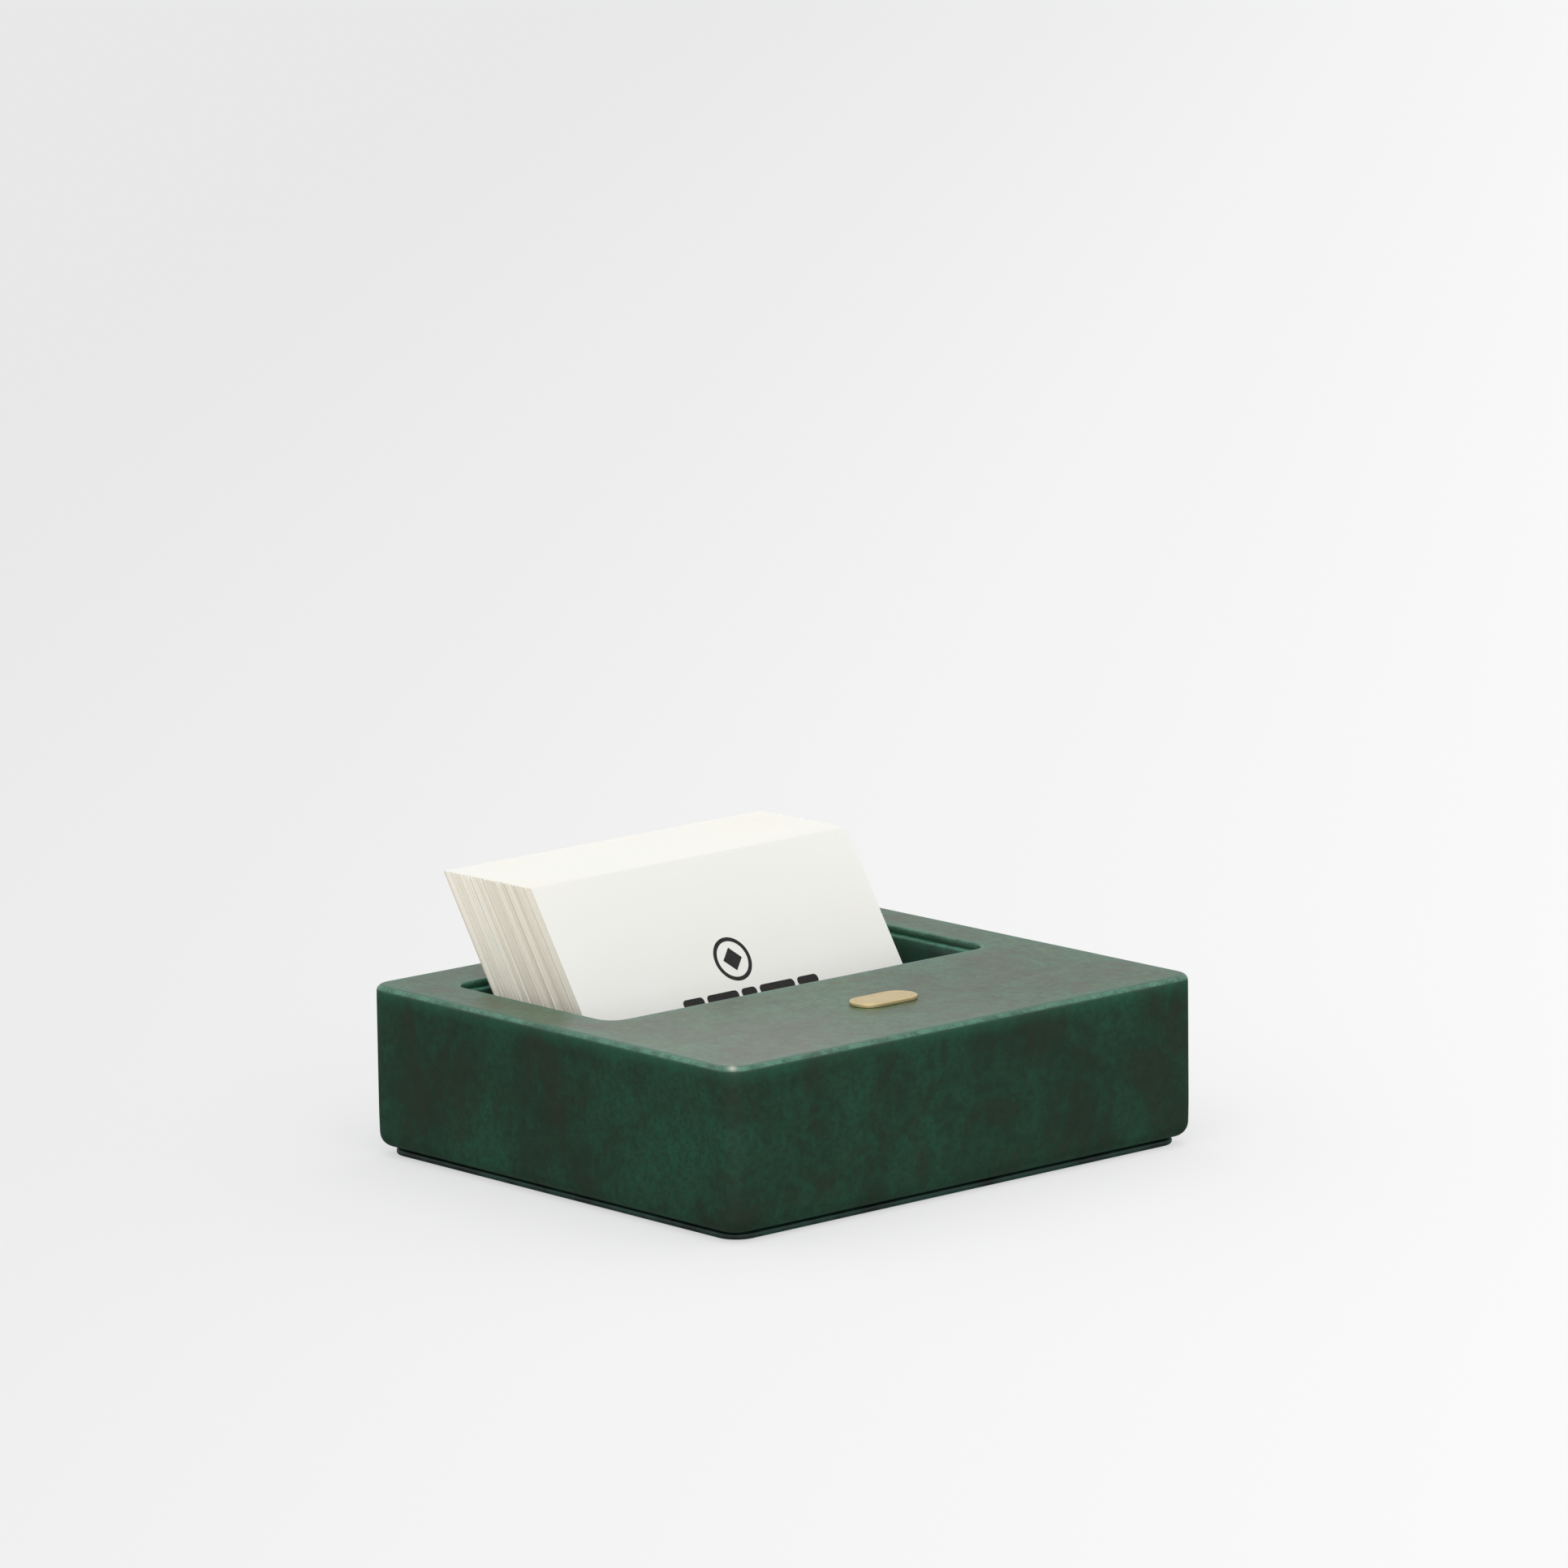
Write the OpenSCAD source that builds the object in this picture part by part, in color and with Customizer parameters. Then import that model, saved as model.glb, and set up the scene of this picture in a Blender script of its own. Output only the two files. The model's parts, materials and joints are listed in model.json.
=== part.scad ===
// Desk card holder: a low block of boards wrapped in one leather cover, with an
// open pocket towards its back, a thin recessed base plate, a small metal badge
// on the ledge in front, and a deck of cards that leans on the pocket's back rim.
// Millimetres, +Z up, front face towards -Y. The origin is the centre of the
// block's plan, on the surface that the holder stands on.

/* [Block] */
// Width of the block from left to right
block_w = 128; // [120:1:180]
// Depth of the block from front to back
block_d = 114; // [90:1:170]
// Height of the top face above the table
block_h = 36; // [30:1:60]
// Plan radius of the block's upright corners
corner_r = 5; // [3.5:0.5:10]
// Radius of the edge round the top face
top_r = 1.4; // [0.6:0.1:2.4]
// Radius of the edge round the underside
foot_r = 3.0; // [2:0.2:4.6]

/* [Leather cover] */
// Thickness of the cover's leather
cover_t = 1.2; // [0.8:0.1:1.6]
// Thickness of the leather where it is pared and turned into the pocket
lip_t = 0.8; // [0.5:0.1:1.2]
// How far the cover is turned down into the pocket
lip_h = 8; // [4:0.5:12]
// How far the cover is turned in under the block
turn_in = 12; // [8:1:20]

/* [Pocket] */
// Width of the pocket's mouth
pocket_w = 104; // [94:1:112]
// Depth of the pocket's mouth from front to back
pocket_d = 50; // [44:1:70]
// Width of the rail behind the pocket
rear_rail = 13.5; // [10:0.5:20]
// Plan radius of the pocket's corners
pocket_r = 4; // [2.5:0.5:8]
// Thickness of the floor board under the pocket
floor_t = 9.4; // [6:0.1:14]

/* [Pocket lining] */
// Thickness of the boards inside the lining
lining_board_t = 1.4; // [0.8:0.1:1.6]
// Thickness of the leather on the lining boards
lining_skin_t = 0.6; // [0.4:0.1:1]
// How far the lining's top edge lies below the top face
lining_drop = 1.5; // [1:0.1:4]

/* [Base plate] */
// Height of the base plate, from the table to the block's underside
base_h = 1.8; // [1.6:0.1:4]
// How far the base plate's edge is set in from the block's sides
base_inset = 2.5; // [1.5:0.5:6]
// Plan radius of the base plate's corners
base_r = 5; // [3:0.5:14]
// Thickness of the leather band round the base plate
band_t = 0.4; // [0.3:0.1:0.6]
// Width of the band's turn-in on the base plate's faces
band_in = 8; // [6:1:12]
// Thickness of the suede pad that the holder stands on
pad_t = 0.6; // [0.4:0.1:1]

/* [Badge] */
// Length of the badge plate along the ledge
badge_l = 16; // [10:0.5:24]
// Width of the badge plate
badge_w = 8; // [5:0.5:12]
// Thickness of the badge plate
badge_t = 0.8; // [0.5:0.1:1.5]
// Distance of the badge's centre in front of the pocket
badge_gap = 24.5; // [12:0.5:30]
// Radius of the badge's two pins
pin_r = 0.6; // [0.4:0.1:1]
// Length of the pins below the badge plate
pin_l = 6; // [4:0.5:10]
// Distance between the two pins
pin_pitch = 8; // [5:0.5:14]

/* [Cards] */
// Width of a card
card_w = 88.9; // [80:0.1:90]
// Height of a card
card_h = 50.8; // [45:0.1:58]
// Thickness of a card
card_t = 0.38; // [0.3:0.01:0.5]
// Number of cards between the front card and the rear card
deck_count = 54; // [10:1:60]
// Angle that the deck leans back from upright, in degrees
deck_lean = 32; // [15:1:38]
// Angle that the deck is turned in the pocket, in degrees
deck_turn = 1.6; // [0:0.1:2.5]
// Sideways offset of the deck from the pocket's middle
deck_off = -0.2; // [-1:0.1:1]

/* [Clearances] */
// Gap between the boards and the curved inside of the cover
glue_gap = 0.05; // [0.02:0.01:0.15]
// Gap between a badge pin and its hole
pin_gap = 0.05; // [0.02:0.01:0.1]
// Gap between two cards of the deck
card_gap = 0.03; // [0.02:0.01:0.1]
// Gap between the deck and the pieces that it rests on or against
rest_gap = 0.5; // [0.3:0.1:0.8]
// Gap between the deck's end cards and the cards next to them
pick_gap = 0.1; // [0.05:0.05:0.3]
// Gap between the cards' lower edges and the pocket's floor
floor_gap = 0.05; // [0.05:0.05:0.3]

/* [Hidden] */

cover_green = "#21473a";
lining_green = "#1c5544";
base_green = "#1d3d33";
board_brown = "#9a8060";
grey_board = "#8d8b84";
badge_gold = "#c8b282";
card_white = "#f0efea";

hull_fn = 24;
round_fn = 64;
foot_steps = 5;
top_steps = 3;
over = 1;

lining_t = lining_board_t + lining_skin_t;
pocket_rear = block_d / 2 - rear_rail;
pocket_front = pocket_rear - pocket_d;
pocket_mid = (pocket_rear + pocket_front) / 2;
core_bottom = base_h + cover_t;
core_top = block_h - cover_t;
floor_top = core_bottom + floor_t;
pocket_floor = floor_top + lining_t;
wall_top = block_h - lining_drop;
badge_y = pocket_front - badge_gap;

card_pitch = card_t + card_gap;
deck_run = (deck_count * card_pitch - card_gap) / cos(deck_lean);
end_run = (card_t + pick_gap) / cos(deck_lean);
stack_run = deck_run + 2 * end_run - pick_gap / cos(deck_lean);
wall_rise = wall_top - pocket_floor;
deck_y = pocket_rear - lining_t - rest_gap - card_w / 2 * sin(deck_turn)
    - (stack_run + wall_rise * tan(deck_lean)) * cos(deck_turn);

// Rectangle with round corners, centred on the origin.
module round_rect(w, d, r) {
    square([w - 2 * r, d], center = true);
    square([w, d - 2 * r], center = true);
    for (sx = [-1, 1], sy = [-1, 1])
        translate([sx * (w / 2 - r), sy * (d / 2 - r)]) circle(r, $fn = round_fn);
}

// The same rectangle as an upright slab from z0 to z1.
module slab(w, d, r, z0, z1) {
    translate([0, 0, z0]) linear_extrude(z1 - z0) round_rect(w, d, r);
}

// Points of a quarter circle about c, from angle a0 to a1.
function arc(c, r, a0, a1, steps) =
    [for (i = [0:steps]) let (a = a0 + (a1 - a0) * i / steps) c + r * [cos(a), sin(a)]];

// Upright corner post with a round foot and a round top edge.
module corner_post(r, foot, top, z0, z1) {
    rotate_extrude($fn = hull_fn) polygon(concat(
        [[0, z0]],
        arc([r - foot, z0 + foot], foot, -90, 0, foot_steps),
        arc([r - top, z1 - top], top, 0, 90, top_steps),
        [[0, z1]]));
}

// The block's outer form, moved inwards by inset on every side.
module block_form(inset) {
    r = corner_r - inset;
    z1 = block_h - inset;
    top = max(top_r - inset, glue_gap);
    foot = min(foot_r - inset, r - glue_gap);
    hull() for (sx = [-1, 1], sy = [-1, 1])
        translate([sx * (block_w / 2 - corner_r), sy * (block_d / 2 - corner_r), 0])
            corner_post(r, foot, top, base_h + inset, z1);
}

// The pocket's outline grown by g, from z0 to z1.
module pocket_slab(g, z0, z1) {
    translate([0, pocket_mid, 0])
        slab(pocket_w + 2 * g, pocket_d + 2 * g, pocket_r + g, z0, z1);
}

module leather_cover() {
    color(cover_green) difference() {
        union() {
            difference() {
                block_form(0);
                block_form(cover_t);
                slab(block_w - 2 * turn_in, block_d - 2 * turn_in, corner_r,
                    base_h - over, core_bottom + over);
            }
            pocket_slab(lip_t, block_h - lip_h, core_top + cover_t / 2);
        }
        pocket_slab(0, block_h - lip_h - over, block_h + over);
        pin_holes();
    }
}

// The two pin holes through the cover and into the front block.
module pin_holes() {
    for (sx = [-1, 1])
        translate([sx * pin_pitch / 2, badge_y, block_h - pin_l - over])
            cylinder(r = pin_r + pin_gap, h = pin_l + 2 * over, $fn = round_fn);
}

// What one board of the core takes up: the cover's inside, cut to the box
// from low to high, less the room for the cover's turned-down lip.
module core_piece(low, high) {
    color(board_brown) difference() {
        intersection() {
            block_form(cover_t + glue_gap);
            translate(low) cube(high - low);
        }
        lip_room();
    }
}

module lip_room() {
    g = lip_t + glue_gap;
    translate([-pocket_w / 2 - g, pocket_front - g, block_h - lip_h - glue_gap])
        cube([pocket_w + 2 * g, pocket_d + 2 * g, lip_h + over]);
}

module core_floor_board() {
    core_piece([-block_w, -block_d, base_h], [block_w, block_d, floor_top]);
}

module core_front_block() {
    difference() {
        core_piece([-block_w, -block_d, floor_top], [block_w, pocket_front, block_h]);
        pin_holes();
    }
}

module core_rear_rail() {
    core_piece([-block_w, pocket_rear, floor_top], [block_w, block_d, block_h]);
}

module core_left_rail() {
    core_piece([-block_w, pocket_front, floor_top], [-pocket_w / 2, pocket_rear, block_h]);
}

module core_right_rail() {
    core_piece([pocket_w / 2, pocket_front, floor_top], [block_w, pocket_rear, block_h]);
}

base_w = block_w - 2 * base_inset;
base_d = block_d - 2 * base_inset;
band_z0 = pad_t / 3;
board_z0 = pad_t + glue_gap;
board_z1 = base_h - band_t;

module base_board() {
    color(grey_board)
        slab(base_w - 2 * band_t - glue_gap, base_d - 2 * band_t - glue_gap, base_r - band_t,
            board_z0, board_z1);
}

module base_leather_band() {
    color(base_green) difference() {
        slab(base_w, base_d, base_r, band_z0, base_h);
        slab(base_w - 2 * band_t, base_d - 2 * band_t, base_r - band_t, pad_t, board_z1);
        slab(base_w - 2 * band_in, base_d - 2 * band_in, base_r, -over, base_h + over);
    }
}

module base_pad() {
    color(base_green)
        slab(base_w - 2 * band_in - glue_gap, base_d - 2 * band_in - glue_gap, base_r, 0, pad_t);
}

module pocket_floor_board() {
    color(grey_board) translate([0, 0, floor_top]) linear_extrude(lining_board_t)
        translate([0, pocket_mid]) square([pocket_w, pocket_d], center = true);
}

module pocket_floor_lining() {
    color(lining_green) translate([0, 0, floor_top + lining_board_t])
        linear_extrude(lining_skin_t)
        translate([0, pocket_mid]) square([pocket_w, pocket_d], center = true);
}

// The lining's ring from the pocket's walls inwards, in plan, outer at depth a
// and inner at depth b.
module wall_ring(a, b) {
    translate([0, pocket_mid]) difference() {
        round_rect(pocket_w - 2 * a, pocket_d - 2 * a, pocket_r - a);
        round_rect(pocket_w - 2 * b, pocket_d - 2 * b, pocket_r - b);
    }
}

// The share of the ring that one wall takes, cut at 45 degrees in the corners.
// side 0 is the front wall, then right, rear and left.
module wall_share(side) {
    w = pocket_w / 2;
    d = pocket_d / 2;
    m = min(w, d) - over;
    cut = glue_gap / 2;
    front = [[-w + cut, -d], [w - cut, -d], [w - m - cut, -d + m], [-w + m + cut, -d + m]];
    right = [[w, -d + cut], [w, d - cut], [w - m, d - m - cut], [w - m, -d + m + cut]];
    outline = side % 2 == 0 ? front : right;
    turn = side < 2 ? 0 : 180;
    translate([0, pocket_mid]) rotate(turn) polygon(outline);
}

module wall_board(side) {
    color(grey_board) translate([0, 0, pocket_floor])
        linear_extrude(wall_top - lining_skin_t - pocket_floor) intersection() {
            wall_ring(glue_gap, lining_board_t);
            wall_share(side);
        }
}

// The lining leather covers a wall board's inner face and its top edge.
module wall_lining(side) {
    color(lining_green) {
        translate([0, 0, pocket_floor])
            linear_extrude(wall_top - pocket_floor) intersection() {
                wall_ring(lining_board_t, lining_t);
                wall_share(side);
            }
        translate([0, 0, wall_top - lining_skin_t])
            linear_extrude(lining_skin_t) intersection() {
                wall_ring(glue_gap, lining_t);
                wall_share(side);
            }
    }
}

module badge_plate() {
    color(badge_gold) translate([0, badge_y, block_h]) linear_extrude(badge_t)
        round_rect(badge_l, badge_w, badge_w / 2 - glue_gap);
}

module badge_pins() {
    color(badge_gold) for (sx = [-1, 1])
        translate([sx * pin_pitch / 2, badge_y, block_h - pin_l])
            cylinder(r = pin_r, h = pin_l, $fn = round_fn);
}

// A card whose lower edge stands on the pocket's floor, run behind the deck's
// front face, leaning back with the deck.
module card(run) {
    translate([deck_off, deck_y, pocket_floor + floor_gap + card_t * sin(deck_lean)])
        rotate(deck_turn) translate([0, run, 0]) rotate([-deck_lean, 0, 0])
        translate([-card_w / 2, 0, 0]) cube([card_w, card_t, card_h]);
}

module front_card() {
    color(card_white) card(0);
}

module card_deck() {
    color(card_white) for (i = [0:deck_count - 1])
        card(end_run + i * card_pitch / cos(deck_lean));
}

module rear_card() {
    color(card_white) card(end_run + deck_run + pick_gap / cos(deck_lean));
}

leather_cover();
core_floor_board();
core_front_block();
core_rear_rail();
core_left_rail();
core_right_rail();
base_board();
base_leather_band();
base_pad();
pocket_floor_board();
pocket_floor_lining();
wall_board(0);  // front_wall_board
wall_board(2);  // rear_wall_board
wall_board(3);  // left_wall_board
wall_board(1);  // right_wall_board
wall_lining(0);  // front_wall_lining
wall_lining(2);  // rear_wall_lining
wall_lining(3);  // left_wall_lining
wall_lining(1);  // right_wall_lining
badge_plate();
badge_pins();
front_card();
card_deck();
rear_card();
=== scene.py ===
import json
import math
import random

import bmesh
import bpy
from mathutils import Matrix, Vector, noise


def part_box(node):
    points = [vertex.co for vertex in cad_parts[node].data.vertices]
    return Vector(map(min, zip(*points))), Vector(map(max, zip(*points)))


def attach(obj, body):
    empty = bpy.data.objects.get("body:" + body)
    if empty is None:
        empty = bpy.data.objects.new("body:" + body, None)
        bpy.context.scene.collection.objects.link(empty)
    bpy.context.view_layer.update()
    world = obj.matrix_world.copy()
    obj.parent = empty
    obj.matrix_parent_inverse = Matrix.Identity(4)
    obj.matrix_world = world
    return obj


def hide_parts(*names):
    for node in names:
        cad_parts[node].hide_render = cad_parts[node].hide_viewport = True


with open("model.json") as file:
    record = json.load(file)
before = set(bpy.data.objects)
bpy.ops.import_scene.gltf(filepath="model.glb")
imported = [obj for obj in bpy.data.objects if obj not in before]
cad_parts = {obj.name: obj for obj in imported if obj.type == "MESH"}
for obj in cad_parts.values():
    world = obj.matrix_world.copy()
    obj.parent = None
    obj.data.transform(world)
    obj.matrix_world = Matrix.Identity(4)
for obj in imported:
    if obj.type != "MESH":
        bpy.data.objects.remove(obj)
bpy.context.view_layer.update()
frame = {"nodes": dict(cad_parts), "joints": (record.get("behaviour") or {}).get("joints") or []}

mm = 0.001
scene = bpy.context.scene
print("frame loaded")


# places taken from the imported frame
coverLow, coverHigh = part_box("leather_cover")
mouthLow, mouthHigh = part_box("pocket_floor_board")
bandLow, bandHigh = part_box("base_leather_band")
padLow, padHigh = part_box("base_pad")
floorLow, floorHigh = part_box("pocket_floor_lining")
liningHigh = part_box("front_wall_lining")[1]
badgeLow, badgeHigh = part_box("badge_plate")

blockSize = coverHigh - coverLow
mouthSize = mouthHigh - mouthLow
mouthMiddle = (mouthHigh.y + mouthLow.y) / 2


# meshes

def ring(bm, width, depth, radius, height, middle=0.0, straights=(48, 42), bend=8, shift=0.0):
    # a rounded rectangle of loose edges, lying flat at a height, with its straight sides cut into short runs
    before = set(bm.edges)
    place = Matrix.Translation((shift, middle, height)) @ Matrix.Diagonal((width, depth, 1, 1))
    corners = bmesh.ops.create_grid(bm, x_segments=1, y_segments=1, size=0.5, matrix=place)["verts"]
    bmesh.ops.bevel(bm, geom=corners, offset=radius, segments=bend, profile=0.5,
                    affect="VERTICES", material=-1)
    flat = {f for e in bm.edges if e not in before for f in e.link_faces}
    bmesh.ops.delete(bm, geom=list(flat), context="FACES_ONLY")
    runs = [(e, e.verts[1].co - e.verts[0].co) for e in bm.edges if e not in before]
    alongX = [e for e, run in runs if abs(run.x) > (width - 2 * radius) * 0.9 and abs(run.y) < 1e-7]
    alongY = [e for e, run in runs if abs(run.y) > (depth - 2 * radius) * 0.9 and abs(run.x) < 1e-7]
    for edges, cuts in ((alongX, straights[0]), (alongY, straights[1])):
        if cuts:
            bmesh.ops.subdivide_edges(bm, edges=edges, cuts=cuts)
    return [e for e in bm.edges if e not in before]


def skin(bm, rings, closed=False, capStart=False, capEnd=False):
    # joins each ring to the next, and may close the last onto the first or cap the ends
    pairs = list(zip(rings, rings[1:])) + ([(rings[-1], rings[0])] if closed else [])
    for one, other in pairs:
        # two rings at one level are bridged with one of them lifted, so that the faces turn the right way
        level = abs(one[0].verts[0].co.z - other[0].verts[0].co.z) < 0.5 * mm
        loop = list({v for e in other for v in e.verts})
        lift = Vector((0, 0, 3 * mm if level else 0))
        bmesh.ops.translate(bm, verts=loop, vec=lift)
        bmesh.ops.bridge_loops(bm, edges=one + other)
        bmesh.ops.translate(bm, verts=loop, vec=-lift)
    for wanted, loop in ((capStart, rings[0]), (capEnd, rings[-1])):
        if wanted:
            bmesh.ops.edgeloop_fill(bm, edges=loop)


def quarter(steps):
    # sine and cosine through a quarter turn
    return [(math.sin(a), math.cos(a)) for a in (math.pi / 2 * i / steps for i in range(steps + 1))]


def finishPiece(bm, name, material, body="holder", stands=(), sharp=None, turned=True):
    # makes the piece's object, in place, on its body
    if turned:
        bmesh.ops.recalc_face_normals(bm, faces=bm.faces)
    mesh = bpy.data.meshes.new(name)
    bm.to_mesh(mesh)
    bm.free()
    mesh.shade_smooth()
    if sharp:
        mesh.set_sharp_from_angle(angle=math.radians(sharp))
    made = bpy.data.objects.new(name, mesh)
    scene.collection.objects.link(made)
    mesh.materials.append(material)
    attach(made, body)
    if stands:
        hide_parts(*stands)
    print("piece", name, len(mesh.polygons), "faces")
    return made


# materials

class Wire:
    # a socket in a material, so that shader sums read as plain sums
    def __init__(self, tree, socket):
        self.tree, self.socket = tree, socket

    def node(self, kind, settings=None, inputs=None, output=0):
        made = self.tree.nodes.new(kind)
        for key, value in (settings or {}).items():
            setattr(made, key, value)
        for key, value in (inputs or {}).items():
            if isinstance(value, Wire):
                self.tree.links.new(value.socket, made.inputs[key])
            else:
                made.inputs[key].default_value = value
        return Wire(self.tree, made.outputs[output])

    def maths(self, operation, one, other):
        return self.node("ShaderNodeMath", {"operation": operation}, {0: one, 1: other})

    def __add__(self, other):
        return self.maths("ADD", self, other)

    def __radd__(self, other):
        return self.maths("ADD", other, self)

    def __sub__(self, other):
        return self.maths("SUBTRACT", self, other)

    def __rsub__(self, other):
        return self.maths("SUBTRACT", other, self)

    def __mul__(self, other):
        return self.maths("MULTIPLY", self, other)

    def __rmul__(self, other):
        return self.maths("MULTIPLY", other, self)

    def noise(self, scale, detail=3.0, rough=0.55, twist=0.0):
        # soft clouds from 0 to 1, read at this place
        return self.node("ShaderNodeTexNoise", {"noise_dimensions": "3D"},
                         {"Vector": self, "Scale": scale, "Detail": detail, "Roughness": rough,
                          "Distortion": twist})

    def stretch(self, x, y, z):
        return self.node("ShaderNodeMapping", {"vector_type": "POINT"}, {"Vector": self, "Scale": (x, y, z)})

    def step(self, low, high, start=0.0, end=1.0):
        # a smooth step of this value
        return self.node("ShaderNodeMapRange", {"interpolation_type": "SMOOTHSTEP"},
                         {"Value": self, "From Min": low, "From Max": high, "To Min": start, "To Max": end})

    def blend(self, one, other):
        # colour one where this value is 0, the other where it is 1
        return self.node("ShaderNodeMix", {"data_type": "RGBA"}, {0: self, 6: one, 7: other}, output=2)

    def attribute(self, name):
        return self.node("ShaderNodeAttribute", {"attribute_name": name}, output=2)

    def bump(self, strength, depth):
        # a relief this many mm deep
        inputs = {"Height": self, "Strength": strength, "Distance": depth * mm}
        return self.node("ShaderNodeBump", inputs=inputs)


def openMaterial(name):
    # an empty material, and its Object coordinates as a wire
    material = bpy.data.materials.new(name)
    material.use_nodes = True
    tree = material.node_tree
    tree.nodes.clear()
    return material, Wire(tree, tree.nodes.new("ShaderNodeTexCoord").outputs["Object"])


def closeMaterial(place, **inputs):
    # the surface shader, from sockets named in words joined by an underscore
    named = {key.replace("_", " "): value for key, value in inputs.items()}
    surface = place.node("ShaderNodeBsdfPrincipled", inputs=named)
    end = place.tree.nodes.new("ShaderNodeOutputMaterial")
    place.tree.links.new(surface.socket, end.inputs["Surface"])


def rgb(red, green, blue):
    # a colour as the eye reads it, 0 to 255, made linear
    return tuple(((c / 255 + 0.055) / 1.055) ** 2.4 if c > 10 else c / 255 / 12.92
                 for c in (red, green, blue)) + (1.0,)


# camera and light

cameraPlace = {
    "turn": -41.487,            # degrees round the upright, from straight in front
    "rise": 10.821,             # degrees above level
    "roll": -0.733,
    "lens": 200.3, "film": 36,
    "distance": 1803.3,         # mm from the point aimed at
    "aim": (10.04, 10.02, 74.03),
    "reach": 100,               # metres
}

camera = bpy.data.objects.new("camera", bpy.data.cameras.new("camera"))
scene.collection.objects.link(camera)
camera.data.lens = cameraPlace["lens"]
camera.data.sensor_width = cameraPlace["film"]
camera.data.clip_end = cameraPlace["reach"]
stand = (Matrix.Rotation(math.radians(cameraPlace["turn"]), 4, "Z")
         @ Matrix.Rotation(math.radians(90 - cameraPlace["rise"]), 4, "X")
         @ Matrix.Rotation(math.radians(cameraPlace["roll"]), 4, "Z"))
aim = Matrix.Translation(Vector(cameraPlace["aim"]) * mm)
camera.matrix_world = aim @ stand @ Matrix.Translation((0, 0, cameraPlace["distance"] * mm))
scene.camera = camera
scene.view_settings.view_transform = "Standard"

studio = {
    "below": 0.07, "horizon": 0.75, "sky": 0.9,             # brightness of the air, from the floor up
    "dusk": (-0.05, 0.02), "dawn": (0.16, 0.6),             # heights where it changes, from -1 down to 1 up
    "key": 0.82, "keySoft": 80,                             # a broad soft light, in degrees across
    "keyWay": (0.55, 0.6, -0.6),                            # the way it shines
    "floorFar": rgb(222, 222, 223), "floorNear": rgb(255, 255, 255), "floorGlow": 0.615, "floorTone": 0.35,
    "floorTurn": 49, "floorFade": (-0.42, 0.34),            # the way it grows lighter: degrees, metres
    "floorHalf": 12,                                        # metres
    "floorDrop": 0.03,                                      # mm, so that the pad isn't in the floor's plane
}

world = bpy.data.worlds.new("studio")
scene.world = world
world.use_nodes = True
world.node_tree.nodes.clear()
sky = Wire(world.node_tree, world.node_tree.nodes.new("ShaderNodeTexCoord").outputs["Generated"])
height = sky.node("ShaderNodeSeparateXYZ", inputs={0: sky}, output=2)
lowAir = height.step(*studio["dusk"], studio["below"], studio["horizon"])
glow = lowAir + height.step(*studio["dawn"], 0.0, studio["sky"] - studio["horizon"])
air = sky.node("ShaderNodeBackground", inputs={"Color": (1, 1, 1, 1), "Strength": glow})
sky.tree.links.new(air.socket, sky.tree.nodes.new("ShaderNodeOutputWorld").inputs["Surface"])

keyLight = bpy.data.objects.new("key", bpy.data.lights.new("key", "SUN"))
keyLight.data.energy = studio["key"]
keyLight.data.angle = math.radians(studio["keySoft"])
keyLight.rotation_euler = Vector(studio["keyWay"]).to_track_quat("-Z", "Y").to_euler()
scene.collection.objects.link(keyLight)

floorMesh = bmesh.new()
bmesh.ops.create_grid(floorMesh, x_segments=1, y_segments=1, size=studio["floorHalf"],
                      matrix=Matrix.Translation((0, 0, -studio["floorDrop"] * mm)))
floorData = bpy.data.meshes.new("floor")
floorMesh.to_mesh(floorData)
floorMesh.free()
floor = bpy.data.objects.new("floor", floorData)
scene.collection.objects.link(floor)
floor.visible_glossy = False                                # the sides would shine white with it
floorPaper, floorPlace = openMaterial("floorPaper")
floorTurned = floorPlace.node("ShaderNodeMapping", {"vector_type": "POINT"},
                              {"Vector": floorPlace, "Rotation": (0, 0, math.radians(studio["floorTurn"]))})
floorAlong = floorTurned.node("ShaderNodeSeparateXYZ", inputs={0: floorTurned}, output=0)
floorColour = floorAlong.step(*studio["floorFade"]).blend(studio["floorFar"], studio["floorNear"])
closeMaterial(floorPlace, Base_Color=(studio["floorTone"],) * 3 + (1.0,), Roughness=0.9,
              Specular_IOR_Level=0.0, Emission_Color=floorColour, Emission_Strength=studio["floorGlow"])
floorData.materials.append(floorPaper)
print("camera and light set")


# the block's leather

coverLook = {
    # radii and other sizes in mm
    "corner": 5.0, "footCorner": 5.2, "edge": 1.4, "foot": 3.0, "settle": 4.2,
    "mouthCorner": 4.0, "rim": 0.5, "lip": 8.0, "thick": 1.2, "lipThick": 0.8, "turnIn": 12.0,
    "wave": 0.05,                                           # how far the leather's face dips
    "spotIn": 1.9, "spotDown": 0.3, "spotSize": 1.5,        # the painted highlight spot at the near left corner
    # how fine the clouds, the grain and the creases are
    "broad": 42, "stain": 88, "mottle": 300, "speck": 850, "fibre": 1900,
    "creaseScale": 95, "creaseBend": 160, "creaseWidth": 0.045,
    "rough": 0.25, "grain": 0.32, "grainDepth": 0.1,
    "waxRough": 0.24, "waxCloud": 0.1, "waxCorner": 0.3, "waxReach": 0.115,
    "green": rgb(28, 72, 53), "deep": rgb(25, 42, 31), "brown": rgb(42, 46, 31),
    # the top face's colours: the leather's clouds, made lighter and greener by a painted sheen
    "topSheenGreen": rgb(45, 101, 63), "topSheenBrown": rgb(42, 67, 24),
    "wearAndHighlight": rgb(104, 156, 134), "bright": rgb(28, 92, 70), "cornerGlint": rgb(205, 200, 188),
    # the creases' dark colour is painted shade
    "crease": rgb(20, 36, 28),
}


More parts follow.
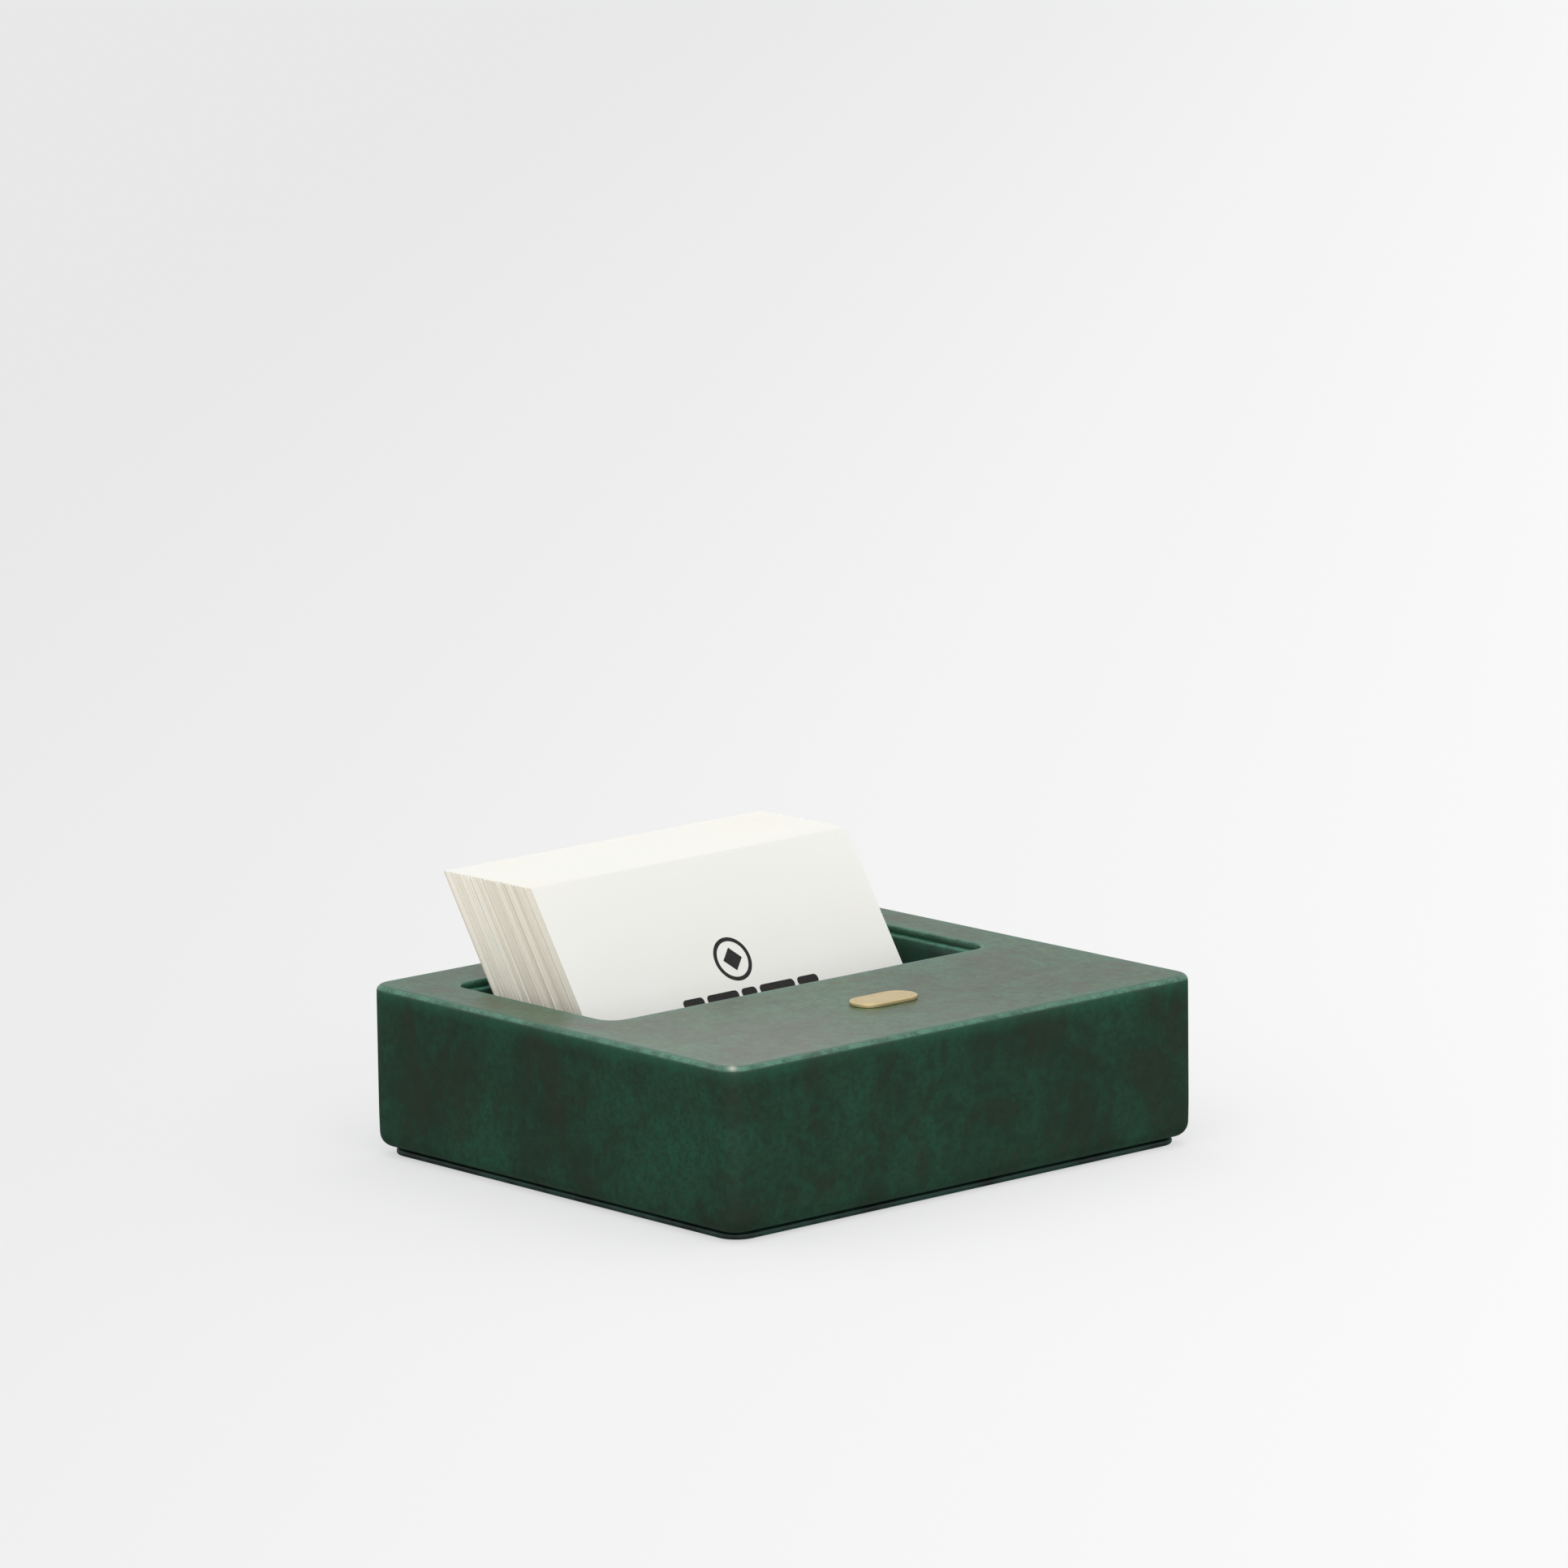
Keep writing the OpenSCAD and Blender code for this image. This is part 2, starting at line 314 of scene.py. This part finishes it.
def leatherMaterial():
    look = coverLook
    material, place = openMaterial("patinatedLeather")
    edge = place.attribute("edgeDistance")                  # mm from the nearest top edge or pocket rim
    face = place.attribute("topFace")
    upright = place.stretch(1, 1, 0.72)
    broad = upright.noise(look["broad"], 3, 0.6, 0.5)
    stain = upright.noise(look["stain"], 5, 0.65, 0.7)
    speck = place.noise(look["speck"], 4, 0.8)
    mottle = place.noise(look["mottle"], 4, 0.7)
    fibre = place.noise(look["fibre"], 3, 0.6)
    cloud = broad * 0.4 + stain * 0.3 + mottle * 0.3
    side = cloud.step(0.34, 0.66).blend(look["green"], look["deep"])
    side = (stain.step(0.45, 0.75) * 0.7).blend(side, look["brown"])
    # the top face is lighter and greener than the sides: painted sheen of the grazing light, over the
    # leather's own clouds
    top = cloud.step(0.38, 0.6).blend(look["topSheenGreen"], look["topSheenBrown"])
    colour = face.blend(side, top)
    colour = (speck.step(0.42, 0.62) * 0.6).blend(colour, look["deep"])
    # a few fine creases on the ledge, along the edges of bent cells: dented in the bump, with painted shade
    # for their dark colour
    push = place.node("ShaderNodeTexNoise", inputs={"Vector": place, "Scale": look["creaseBend"]}, output=1)
    bent = place.node("ShaderNodeMix", {"data_type": "VECTOR"}, {0: 0.012, 4: place, 5: push}, output=1)
    cell = bent.node("ShaderNodeTexVoronoi", {"feature": "DISTANCE_TO_EDGE"},
                     {"Vector": bent, "Scale": look["creaseScale"]})
    crease = cell.step(0.0, look["creaseWidth"], 1.0, 0.0) * stain.step(0.44, 0.56)
    crease = crease * face * edge.step(2.0, 6.0)
    colour = (crease * 0.5).blend(colour, look["crease"])
    # the colour is brighter near the edges, and pale along them: partly rubbed wear, partly a painted
    # highlight on the rounded edges
    nearEdge = edge.step(0.3, 4.0, 1.0, 0.0) * (0.35 + 0.45 * face) * (1 - stain.step(0.4, 0.75) * 0.6)
    colour = nearEdge.blend(colour, look["bright"])
    # the pale line is partly wear and partly a painted highlight along the rounded edges
    patchy = (0.22 + 0.45 * mottle.step(0.35, 0.65)) * fibre.step(0.3, 0.6, 0.5, 1.0)
    colour = (edge.step(0.1, 0.5, 1.0, 0.0) * patchy).blend(colour, look["wearAndHighlight"])
    # a pale painted highlight spot on the near left corner's rounded top
    cornerGlint = place.attribute("paintedCornerGlint").step(0.0, 0.9) * speck.step(0.35, 0.6, 0.35, 0.8)
    colour = cornerGlint.blend(colour, look["cornerGlint"])
    rough = look["rough"] + 0.07 * speck + 0.08 * broad + 0.06 * mottle
    # wax shines on the top face, in clouds, and more toward the near left corner
    toRear = place.node("ShaderNodeVectorMath", {"operation": "DOT_PRODUCT"},
                        {0: place, 1: (1, 1, 0)}, output=1)
    nearby = toRear.step(-look["waxReach"], 0.0, 1.0, 0.0)
    wax = face * (look["waxCloud"] * broad.step(0.4, 0.62) + look["waxCorner"] * nearby)
    grain = speck * 0.5 + fibre * 0.25 + mottle * 0.25 - crease * 0.5
    closeMaterial(place, Base_Color=colour, Roughness=rough, IOR=1.45, Specular_IOR_Level=0.5,
                  Coat_Weight=wax, Coat_Roughness=look["waxRough"],
                  Normal=grain.bump(look["grain"], look["grainDepth"]))
    return material


def pastOutline(x, y, half, radius):
    # how far a point lies outside a rounded rectangle, below 0 inside it
    past = Vector((abs(x) - half.x + radius, abs(y) - half.y + radius))
    return Vector((max(past.x, 0), max(past.y, 0))).length + min(max(past.x, past.y), 0) - radius


def makeCover():
    look = coverLook
    bm = bmesh.new()
    width, depth, top, foot = blockSize.x, blockSize.y, coverHigh.z, coverLow.z
    edge, footRadius, thick = look["edge"] * mm, look["foot"] * mm, look["thick"] * mm
    rim, lipThick, settle = look["rim"] * mm, look["lipThick"] * mm, look["settle"] * mm
    turnIn = look["turnIn"] * mm

    def outline(inset, height, corner=look["corner"]):
        radius = max(corner * mm - inset, 0.6 * mm)
        return ring(bm, width - 2 * inset, depth - 2 * inset, radius, height)

    def mouth(grow, height):
        return ring(bm, mouthSize.x + 2 * grow, mouthSize.y + 2 * grow,
                    look["mouthCorner"] * mm + grow, height, mouthMiddle)

    rings = [outline(turnIn, foot, look["footCorner"]), outline(turnIn * 0.6, foot, look["footCorner"])]
    # the foot rounds in, and a little more at the corners
    for sine, cosine in quarter(6):
        rings.append(outline(footRadius * (1 - sine), foot + footRadius * (1 - cosine), look["footCorner"]))
    for share in (0.25, 0.5, 0.75, 1.0):
        corner = look["footCorner"] + (look["corner"] - look["footCorner"]) * share
        rings.append(outline(0, foot + footRadius + settle * share, corner))
    start = foot + footRadius + settle
    for i in range(1, 9):
        rings.append(outline(0, start + (top - edge - start) * i / 8))
    for sine, cosine in quarter(5)[1:]:
        rings.append(outline(edge * (1 - cosine), top - edge * (1 - sine)))
    # across the top face to the pocket's mouth
    outerSize = Vector((width - 2 * edge, depth - 2 * edge))
    innerSize = Vector((mouthSize.x + 2 * rim, mouthSize.y + 2 * rim))
    outerCorner, innerCorner = look["corner"] * mm - edge, look["mouthCorner"] * mm + rim
    for share in (0.04, 0.09, 0.15, 0.22, 0.3, 0.38, 0.46, 0.54, 0.62, 0.7, 0.78, 0.85, 0.91, 0.96):
        size = outerSize.lerp(innerSize, share)
        corner = outerCorner + (innerCorner - outerCorner) * share
        rings.append(ring(bm, size.x, size.y, corner, top, mouthMiddle * share))
    for sine, cosine in quarter(5):
        rings.append(mouth(rim * (1 - sine), top - rim * (1 - cosine)))
    # down the lip and back up behind it, then round the inside
    lipFoot = top - look["lip"] * mm
    for share in (0.33, 0.66):
        rings.append(mouth(0, top - rim + (lipFoot + 0.3 * mm - top + rim) * share))
    rings.append(mouth(0.06 * mm, lipFoot + 0.2 * mm))
    rings.append(mouth(0.3 * mm, lipFoot))
    rings.append(mouth(lipThick - 0.1 * mm, lipFoot + 0.1 * mm))
    rings.append(mouth(lipThick, lipFoot + 0.6 * mm))
    rings.append(mouth(lipThick, top - thick))
    inside = Vector((width - 2 * thick - edge, depth - 2 * thick - edge))
    for share in (0.25, 0.5, 0.75):
        size = Vector((mouthSize.x + 2 * mm, mouthSize.y + 2 * mm)).lerp(inside, share)
        rings.append(ring(bm, size.x, size.y, 4.5 * mm, top - thick, mouthMiddle * (1 - share)))
    rings.append(outline(thick + edge / 2, top - thick))
    rings.append(outline(thick, top - thick - edge / 2))
    rings.append(outline(thick, foot + footRadius + 2 * mm))
    rings.append(outline(thick + 0.3 * mm, foot + footRadius, look["footCorner"]))
    rings.append(outline(footRadius, foot + thick, look["footCorner"] + 1))
    rings.append(outline(turnIn, foot + thick, look["footCorner"] + 1))
    skin(bm, rings, closed=True)
    bmesh.ops.recalc_face_normals(bm, faces=bm.faces)
    bm.normal_update()

    distance = bm.verts.layers.float.new("edgeDistance")
    cornerGlint = bm.verts.layers.float.new("paintedCornerGlint")
    face = bm.verts.layers.float.new("topFace")
    half, mouthHalf = Vector((width / 2, depth / 2)), mouthSize.xy / 2
    # the painted highlight spot sits on the near left corner, just in from its edges
    spotIn, spotDown = look["spotIn"] * mm, look["spotDown"] * mm
    nearCorner = Vector((-half.x + spotIn, -half.y + spotIn, top - spotDown))
    badgeMiddle = (badgeLow + badgeHigh) / 2
    for vert in bm.verts:
        x, y, z = vert.co
        fromTop = top - z
        outer = max(-pastOutline(x, y, half, look["corner"] * mm), fromTop) - edge * 0.4
        inner = max(pastOutline(x, y - mouthMiddle, mouthHalf, look["mouthCorner"] * mm), fromTop) - rim * 0.3
        vert[distance] = max(min(outer, inner), 0) / mm
        reach = vert.co - nearCorner
        away = Vector((reach.x, reach.y, reach.z * 1.8)).length
        vert[cornerGlint] = max(0.0, 1 - away / (look["spotSize"] * mm))
        vert[face] = 1.0 if vert.normal.z > 0.85 and fromTop < 0.4 * mm else 0.0
    # the glued leather is never quite flat, but it lies flat round the badge
    for vert in bm.verts:
        flatness = min(1, ((vert.co - badgeMiddle).length / (12 * mm)) ** 2)
        dip = noise.noise(vert.co / (9 * mm)) * 0.6 + noise.noise(vert.co / (22 * mm) + Vector((7, 3, 1)))
        vert.co -= vert.normal * look["wave"] * mm * flatness * (dip + 1) / 2
    made = finishPiece(bm, "coverLeather", leatherMaterial(),
                       stands=["leather_cover"], turned=False)
    smooth = made.modifiers.new("smooth", "SUBSURF")
    smooth.levels = smooth.render_levels = 1


makeCover()


# base: the leather band round the base board, and the suede pad

baseLook = {
    "corner": 5.0, "bandIn": 8.0, "skin": 0.44, "padEdge": 0.12,       # mm
    "green": rgb(26, 56, 48), "dark": rgb(16, 30, 26), "suede": rgb(40, 58, 48),
}


def bandMaterial():
    material, place = openMaterial("bandLeather")
    cloud = place.noise(140, 3, 0.6)
    speck = place.noise(1300, 3, 0.7)
    colour = cloud.step(0.4, 0.65).blend(baseLook["green"], baseLook["dark"])
    closeMaterial(place, Base_Color=colour, Roughness=0.38 + 0.15 * speck, Specular_IOR_Level=0.5,
                  Normal=speck.bump(0.2, 0.08))
    return material


def suedeMaterial():
    material, place = openMaterial("padSuede")
    nap = place.noise(2400, 4, 0.75)
    patch = place.noise(90, 3, 0.6, 0.5)
    colour = (nap * 0.5 + patch * 0.5).step(0.3, 0.7).blend(baseLook["suede"], baseLook["dark"])
    closeMaterial(place, Base_Color=colour, Roughness=0.95, Specular_IOR_Level=0.2,
                  Sheen_Weight=0.4, Sheen_Roughness=0.5, Normal=nap.bump(0.6, 0.2))
    return material


def makeBase():
    size = bandHigh - bandLow
    low, high = bandLow.z, bandHigh.z
    corner, bandIn, thick = (baseLook[k] * mm for k in ("corner", "bandIn", "skin"))

    def profile(bm, points):
        return [ring(bm, size.x - 2 * inset, size.y - 2 * inset, max(corner - inset, 0.8 * mm), height)
                for inset, height in points]

    # the edge is a rounded roll, with a groove between it and the block
    roll = [(bandIn, low), (3 * mm, low), (0.45 * mm, low), (0.2 * mm, low + 0.08 * mm),
            (0.06 * mm, low + 0.25 * mm), (0, low + 0.5 * mm), (0, low + 0.8 * mm),
            (0.06 * mm, low + 1.02 * mm), (0.18 * mm, low + 1.16 * mm), (0.36 * mm, low + 1.23 * mm),
            (1.2 * mm, low + 1.26 * mm), (1.3 * mm, low + 1.32 * mm), (1.3 * mm, high - 0.08 * mm),
            (1.5 * mm, high), (4 * mm, high), (bandIn, high)]
    wrap = [(bandIn, high - 0.39 * mm), (thick, high - 0.39 * mm),
            (thick, low + thick), (bandIn, low + 0.42 * mm)]
    bm = bmesh.new()
    skin(bm, profile(bm, roll + wrap), closed=True)
    finishPiece(bm, "baseBand", bandMaterial(), stands=["base_leather_band"], sharp=50)

    size = padHigh - padLow
    edge = baseLook["padEdge"] * mm
    bm = bmesh.new()
    rings = profile(bm, [(edge, padLow.z), (0, padLow.z + edge), (0, padHigh.z - edge), (edge, padHigh.z)])
    skin(bm, rings, capStart=True, capEnd=True)
    finishPiece(bm, "basePad", suedeMaterial(), stands=["base_pad"], sharp=50)


makeBase()


# the pocket's lining

liningLook = {
    "skin": 0.6, "board": 1.4, "gap": 0.05, "roll": 0.5, "mitre": 0.03,      # mm
    "floorEdge": 0.1, "floorCorner": 0.5, "nearEdge": 0.7,
    "green": rgb(24, 66, 52), "dark": rgb(18, 46, 37), "wearAndHighlight": rgb(54, 118, 96),
}


def liningMaterial():
    material, place = openMaterial("liningLeather")
    cloud = place.noise(80, 3, 0.55, 0.4)
    speck = place.noise(1500, 3, 0.65)
    colour = cloud.step(0.4, 0.65).blend(liningLook["green"], liningLook["dark"])
    # a pale line along the lining's rounded top edge: partly wear, partly a painted highlight
    line = place.attribute("topEdge") * place.noise(330, 3, 0.6).step(0.35, 0.6, 0.35, 1.0)
    colour = line.blend(colour, liningLook["wearAndHighlight"])
    closeMaterial(place, Base_Color=colour, Roughness=0.42 + 0.12 * speck, Specular_IOR_Level=0.5,
                  Normal=speck.bump(0.2, 0.1))
    return material


def makeLinings():
    look = liningLook
    material = liningMaterial()
    low, high = floorHigh.z, liningHigh.z
    inner, board, gap = (look["skin"] + look["board"]) * mm, look["board"] * mm, look["gap"] * mm
    roll = look["roll"] * mm
    profile = [(inner, low), (inner, low + (high - low) * 0.5), (inner, high - 2 * mm), (inner, high - roll)]
    profile += [(inner - roll * (1 - cosine), high - roll * (1 - sine)) for sine, cosine in quarter(5)[1:]]
    profile += [(gap + 0.25 * mm, high), (gap, high - 0.2 * mm), (gap, high - look["skin"] * mm),
                (board, high - look["skin"] * mm), (board, low)]
    halfX, halfY = mouthSize.x / 2, mouthSize.y / 2
    # each wall is the share of the whole ring between two mitres. A cut is a point of its plane and the way
    # to what is cut off, and the long walls need a third cut to lose what is past the pocket's middle
    walls = {
        "liningFront": ("front_wall_lining",
                        ((-halfX, -halfY, -1, 1), (halfX, -halfY, 1, 1), (0, 0, 0, 1))),
        "liningRight": ("right_wall_lining", ((halfX, -halfY, -1, -1), (halfX, halfY, -1, 1))),
        "liningRear": ("rear_wall_lining",
                       ((-halfX, halfY, -1, -1), (halfX, halfY, 1, -1), (0, 0, 0, -1))),
        "liningLeft": ("left_wall_lining", ((-halfX, -halfY, 1, -1), (-halfX, halfY, 1, 1))),
    }
    for name, (node, cuts) in walls.items():
        bm = bmesh.new()
        rings = [ring(bm, mouthSize.x - 2 * inset, mouthSize.y - 2 * inset,
                      coverLook["mouthCorner"] * mm - inset, z, mouthMiddle) for inset, z in profile]
        skin(bm, rings, closed=True)
        bmesh.ops.recalc_face_normals(bm, faces=bm.faces)
        for x, y, sideX, sideY in cuts:
            away = Vector((sideX, sideY, 0)).normalized()
            point = Vector((x, y + mouthMiddle, 0)) - away * look["mitre"] * mm
            bmesh.ops.bisect_plane(bm, geom=bm.verts[:] + bm.edges[:] + bm.faces[:], dist=1e-7,
                                   plane_co=point, plane_no=away, clear_outer=True)
        bmesh.ops.remove_doubles(bm, verts=bm.verts, dist=1e-6)
        bmesh.ops.holes_fill(bm, edges=[e for e in bm.edges if e.is_boundary], sides=0)
        top = bm.verts.layers.float.new("topEdge")
        for vert in bm.verts:
            vert[top] = max(0.0, 1 - (high - vert.co.z) / (look["nearEdge"] * mm))
        finishPiece(bm, name, material, stands=[node], sharp=45)

    bm = bmesh.new()
    edge, corner = look["floorEdge"] * mm, look["floorCorner"] * mm
    profile = [(edge, floorLow.z), (0, floorLow.z + edge), (0, floorHigh.z - edge), (edge, floorHigh.z)]
    rings = [ring(bm, mouthSize.x - 2 * inset, mouthSize.y - 2 * inset, corner, z, mouthMiddle)
             for inset, z in profile]
    skin(bm, rings, capStart=True, capEnd=True)
    bm.verts.layers.float.new("topEdge")
    finishPiece(bm, "liningFloor", material, stands=["pocket_floor_lining"], sharp=50)


makeLinings()


# the badge: a plain plate with a fine engraved border

badgeLook = {
    "edge": 0.22, "border": 0.95, "groove": 0.1,            # mm
    "gold": rgb(222, 202, 156), "deep": rgb(204, 182, 134),
}


def brassMaterial():
    material, place = openMaterial("brushedBrass")
    brush = place.stretch(0.12, 1, 1).noise(3600, 3, 0.6)
    cloud = place.noise(260, 2, 0.5)
    colour = (brush * 0.5 + cloud * 0.5).step(0.2, 0.9).blend(badgeLook["gold"], badgeLook["deep"])
    closeMaterial(place, Base_Color=colour, Metallic=1.0, Roughness=0.34 + 0.12 * brush,
                  Normal=brush.bump(0.08, 0.02))
    return material


def makeBadge():
    look = badgeLook
    size = badgeHigh - badgeLow
    middle = (badgeLow + badgeHigh) / 2
    edge, border, groove = look["edge"] * mm, look["border"] * mm, look["groove"] * mm
    points = [(0.1 * mm, badgeLow.z), (0, badgeLow.z + 0.08 * mm), (0, badgeHigh.z - edge)]
    points += [(edge * (1 - cosine), badgeHigh.z - edge * (1 - sine)) for sine, cosine in quarter(4)[1:]]
    points += [(border, badgeHigh.z), (border + 0.08 * mm, badgeHigh.z - groove),
               (border + 0.2 * mm, badgeHigh.z - groove), (border + 0.28 * mm, badgeHigh.z)]
    bm = bmesh.new()
    rings = [ring(bm, size.x - 2 * inset, size.y - 2 * inset, size.y / 2 - inset - 0.02 * mm, z,
                  middle.y, (10, 0), 16, middle.x) for inset, z in points]
    skin(bm, rings, capStart=True, capEnd=True)
    brass = brassMaterial()
    finishPiece(bm, "badge", brass, stands=["badge_plate"], sharp=40)
    return brass


brass = makeBadge()


# the cards

cardLook = {
    "width": 88.9, "height": 50.8, "thick": 0.38, "count": 54,     # mm, and the deck's number
    "slide": 0.28, "lift": 0.2, "tilt": 0.12,                      # how unevenly they stand, mm and degrees
    "frontTone": 0.55, "rearTone": 0.1,                            # how light the single cards' ends are; a darker end is partly painted shade
    "clump": 0.3, "seed": 7,                                       # how often a new clump starts
    "face": rgb(243, 243, 239), "edge": rgb(246, 240, 226), "shade": rgb(218, 207, 188),
}
lean = math.acos(frame["joints"][0]["axis"][2])
turn = math.atan2(-frame["joints"][0]["axis"][0], frame["joints"][0]["axis"][1])
across = Vector((math.cos(turn), math.sin(turn), 0))
upward = Vector(frame["joints"][0]["axis"]).normalized()
outward = across.cross(upward)


def cardCorner(node):
    # the lower left corner of a card's front face, from its box
    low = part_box(node)[0]
    height, thick = cardLook["height"] * mm, cardLook["thick"] * mm
    return Vector((low.x + height * math.sin(turn) * math.sin(lean) + thick * math.sin(turn) * math.cos(lean),
                   low.y, low.z + thick * math.sin(lean)))


def cardPlace(corner):
    # a frame with x across the card, y up it and z out of its face
    return Matrix.Translation(corner) @ Matrix((across, upward, outward)).transposed().to_4x4()


def addCard(bm, place, layer, tone):
    # the two cut ends take the tone, and the other faces 1
    width, height, thick = (cardLook[k] * mm for k in ("width", "height", "thick"))
    middle = Matrix.Translation((width / 2, height / 2, -thick / 2))
    size = Matrix.Diagonal((width, height, thick, 1))
    verts = bmesh.ops.create_cube(bm, size=1, matrix=place @ middle @ size)["verts"]
    for face in {f for v in verts for f in v.link_faces}:
        face.normal_update()
        face[layer] = tone if abs(face.normal.dot(across)) > 0.9 else 1.0


def paperMaterial():
    material, place = openMaterial("deckPaper")
    fibre = place.noise(2200, 4, 0.7)
    soft = place.noise(60, 2, 0.5)
    colour = (fibre * 0.5 + soft * 0.5).step(0.3, 0.8, 0.0, 0.35).blend(cardLook["face"], cardLook["edge"])
    # the cut ends run from the edge colour to the shade colour: each card's own tone, with painted shade
    # between the cards
    tone = place.attribute("edgeTone")
    side = tone.step(0.0, 0.85).blend(cardLook["shade"], cardLook["edge"])
    colour = tone.step(0.9, 0.98).blend(side, colour)
    closeMaterial(place, Base_Color=colour, Roughness=0.6, Specular_IOR_Level=0.35,
                  Normal=fibre.bump(0.12, 0.05))
    return material


def makeCards():
    look = cardLook
    paper = paperMaterial()
    first, last = cardCorner("front_card"), cardCorner("rear_card")
    chance = random.Random(look["seed"])

    for name, node, corner, tone in (("frontCard", "front_card", first, look["frontTone"]),
                                     ("rearCard", "rear_card", last, look["rearTone"])):
        bm = bmesh.new()
        layer = bm.faces.layers.float.new("edgeTone")
        addCard(bm, cardPlace(corner), layer, tone)
        finishPiece(bm, name, paper, body=node, stands=[node], sharp=30)

    bm = bmesh.new()
    layer = bm.faces.layers.float.new("edgeTone")
    # the cards stand in clumps, which share a shift and a tone; the ends' darker tones are partly each card's
    # own tone, partly painted shade between the cards
    group, tone = 0.0, 0.6
    for i in range(look["count"]):
        if chance.random() < look["clump"]:
            group, tone = chance.uniform(-0.6, 0.6), chance.uniform(0.3, 0.75)
        corner = first + (last - first) * (i + 1) / (look["count"] + 1)
        slide = (group * 0.5 + chance.uniform(-0.5, 0.5)) * look["slide"] * mm
        lift = chance.uniform(0, 1) ** 2 * look["lift"] * mm
        jitter = Matrix.Translation((slide, lift, 0)) @ Matrix.Rotation(
            math.radians(chance.uniform(-1, 1) * look["tilt"]), 4, "Z")
        cardTone = min(0.84, max(0.0, tone + chance.uniform(-0.3, 0.3)))
        addCard(bm, cardPlace(corner) @ jitter, layer, cardTone)
    finishPiece(bm, "deckCards", paper, body="card_deck", stands=["card_deck"], sharp=30)
    return first


firstCorner = makeCards()


# what is printed on the front card: a plain mark and plain bars

printLook = {
    # mm from the card's left and top edges
    "markAcross": 44.4, "markDown": 23.3, "markRadius": 4.9, "line": 0.9, "diamond": 2.6,
    "barsDown": 31.0, "barHeight": 2.1, "barRound": 0.45,
    "bars": ((26.8, 5.8), (33.5, 8.8), (43.2, 4.2), (48.3, 9.8), (59.0, 5.8)),      # start and length
    "ink": 0.02, "black": rgb(22, 20, 20), "thin": rgb(40, 37, 36),
}


def inkMaterial():
    material, place = openMaterial("printInk")
    spread = place.noise(1800, 3, 0.6)
    colour = spread.step(0.3, 0.8).blend(printLook["black"], printLook["thin"])
    closeMaterial(place, Base_Color=colour, Roughness=0.5 + 0.1 * spread, Specular_IOR_Level=0.3)
    return material


def makePrint():
    look = printLook
    place = cardPlace(firstCorner)
    cardTop = cardLook["height"]
    bm = bmesh.new()
    mark = place @ Matrix.Translation((look["markAcross"] * mm, (cardTop - look["markDown"]) * mm, 0))
    disc = bmesh.ops.create_circle(bm, cap_ends=True, segments=72,
                                   radius=look["markRadius"] * mm, matrix=mark)
    face = disc["verts"][0].link_faces[0]
    bmesh.ops.inset_individual(bm, faces=[face], thickness=look["line"] * mm)
    bmesh.ops.delete(bm, geom=[face], context="FACES")
    bmesh.ops.create_circle(bm, cap_ends=True, segments=4, radius=look["diamond"] * mm, matrix=mark)
    for start, length in look["bars"]:
        middle = Matrix.Translation(((start + length / 2) * mm, (cardTop - look["barsDown"]) * mm, 0))
        size = Matrix.Diagonal((length * mm, look["barHeight"] * mm, 1, 1))
        corners = bmesh.ops.create_grid(bm, x_segments=1, y_segments=1, size=0.5,
                                        matrix=place @ middle @ size)
        bmesh.ops.bevel(bm, geom=corners["verts"], offset=look["barHeight"] * mm * look["barRound"],
                        segments=5, profile=0.5, affect="VERTICES", material=-1)
    for face in bm.faces:
        if face.normal.dot(outward) < 0:
            face.normal_flip()
    bmesh.ops.solidify(bm, geom=bm.faces[:], thickness=-look["ink"] * mm)
    finishPiece(bm, "printedMark", inkMaterial(), body="front_card", sharp=30)


makePrint()


# the hidden boards and the badge's pins keep their shape and get their own finish

boardLook = {
    "coreBoard": {"light": rgb(168, 140, 104), "dark": rgb(132, 104, 74), "pulp": 620},
    "greyBoard": {"light": rgb(150, 148, 142), "dark": rgb(118, 116, 110), "pulp": 900},
}


def boardMaterial(name):
    look = boardLook[name]
    material, place = openMaterial(name)
    pulp = place.noise(look["pulp"], 4, 0.7)
    fleck = place.stretch(1, 1, 3).noise(look["pulp"] * 3, 3, 0.65)
    colour = (pulp * 0.6 + fleck * 0.4).step(0.35, 0.65).blend(look["light"], look["dark"])
    closeMaterial(place, Base_Color=colour, Roughness=0.85, Specular_IOR_Level=0.3,
                  Normal=fleck.bump(0.4, 0.12))
    return material


# the core boards' names start with core, and a word at the end tells the others
finishes = {"core": boardMaterial("coreBoard"), "board": boardMaterial("greyBoard"), "pins": brass}
for name, node in frame["nodes"].items():
    for word, material in finishes.items():
        if name.startswith(word) or name.endswith(word):
            for held in node.material_slots:
                held.material = material
            break
print("boards finished")
